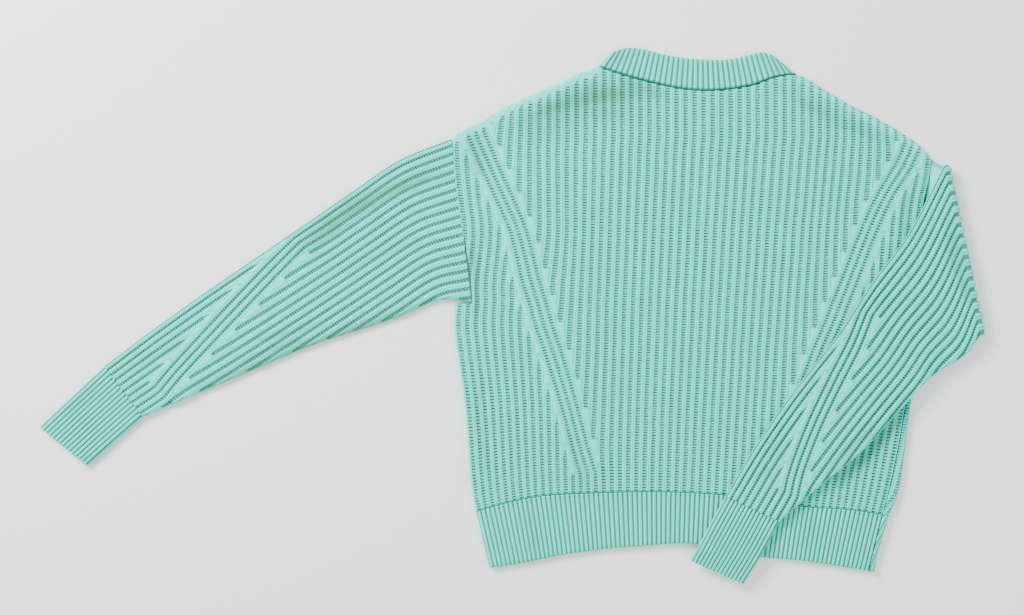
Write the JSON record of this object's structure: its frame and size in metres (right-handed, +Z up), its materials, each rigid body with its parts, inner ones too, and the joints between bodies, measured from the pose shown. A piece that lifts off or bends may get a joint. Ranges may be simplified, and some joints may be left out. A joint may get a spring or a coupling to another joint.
{
  "type": "knitted cardigan laid flat, back up, one sleeve folded over it",
  "caption": "Chunky rib-knit cardigan with ribbed hem, cuffs and neckband, lying flat with its back up and the right sleeve folded over the back",
  "frame": {"origin": "centre of the laid-out garment's outline, on the surface that it lies on", "axes": "+Z up out of the surface and square to the cloth, +X across the body towards the wearer's right, +Y from hem to neck"},
  "size_m": [1.0407, 0.59, 0.0183],
  "materials": {
    "knit": "matte mint green chunky half-cardigan rib",
    "fine_rib": "matte mint green fine rib",
    "button": "satin, dyed to match the yarn"
  },
  "bodies": {
    "root": {"back": "knit", "back_hem": "fine_rib", "front_left": "knit", "front_left_hem": "fine_rib", "front_right": "knit", "front_right_hem": "fine_rib", "sleeve_left": "knit", "cuff_left": "fine_rib", "sleeve_right": "knit", "cuff_right": "fine_rib", "neckband_back": "fine_rib", "neckband_left": "fine_rib", "neckband_right": "fine_rib", "button_band": "fine_rib", "buttonhole_band": "fine_rib", "button_1": "button", "button_2": "button", "button_3": "button", "button_4": "button", "button_5": "button", "button_6": "button"}
  },
  "joints": []
}
